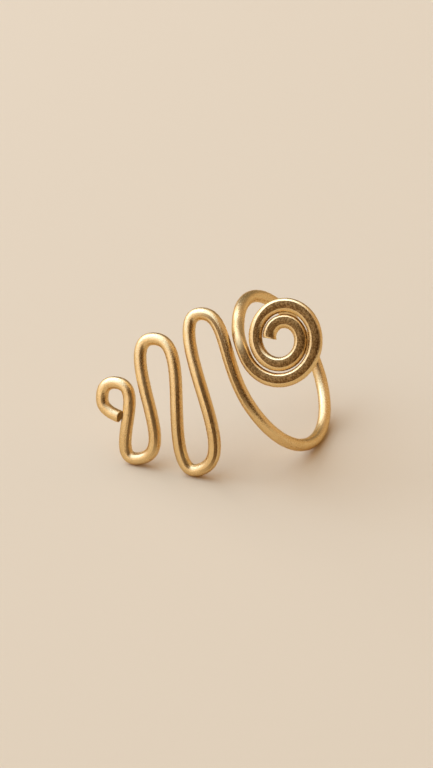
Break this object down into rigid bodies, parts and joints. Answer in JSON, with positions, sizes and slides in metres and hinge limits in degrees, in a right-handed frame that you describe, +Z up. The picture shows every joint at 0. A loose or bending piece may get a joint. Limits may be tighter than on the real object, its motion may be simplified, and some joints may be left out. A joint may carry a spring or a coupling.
{
  "type": "brass wire finger ring",
  "caption": "Finger ring bent from round brass wire: an open flat spiral, a hoop for the finger, and a row of shrinking waves that ends in a small curl.",
  "frame": {"origin": "on the surface that the ring rests on, under the middle of the ring's box", "axes": "+Z up from that surface; +X level, along the finger as seen from above, from the waves towards the spiral; the waves and the spiral face -Y and the hoop bulges towards +Y"},
  "size_m": [0.0276, 0.0224, 0.0216],
  "materials": {
    "brass_wire": "bare drawn brass wire, satin with a fine mottled tarnish and brighter worn edges"
  },
  "bodies": {
    "root": {"ring_wire": "brass_wire"}
  },
  "joints": []
}
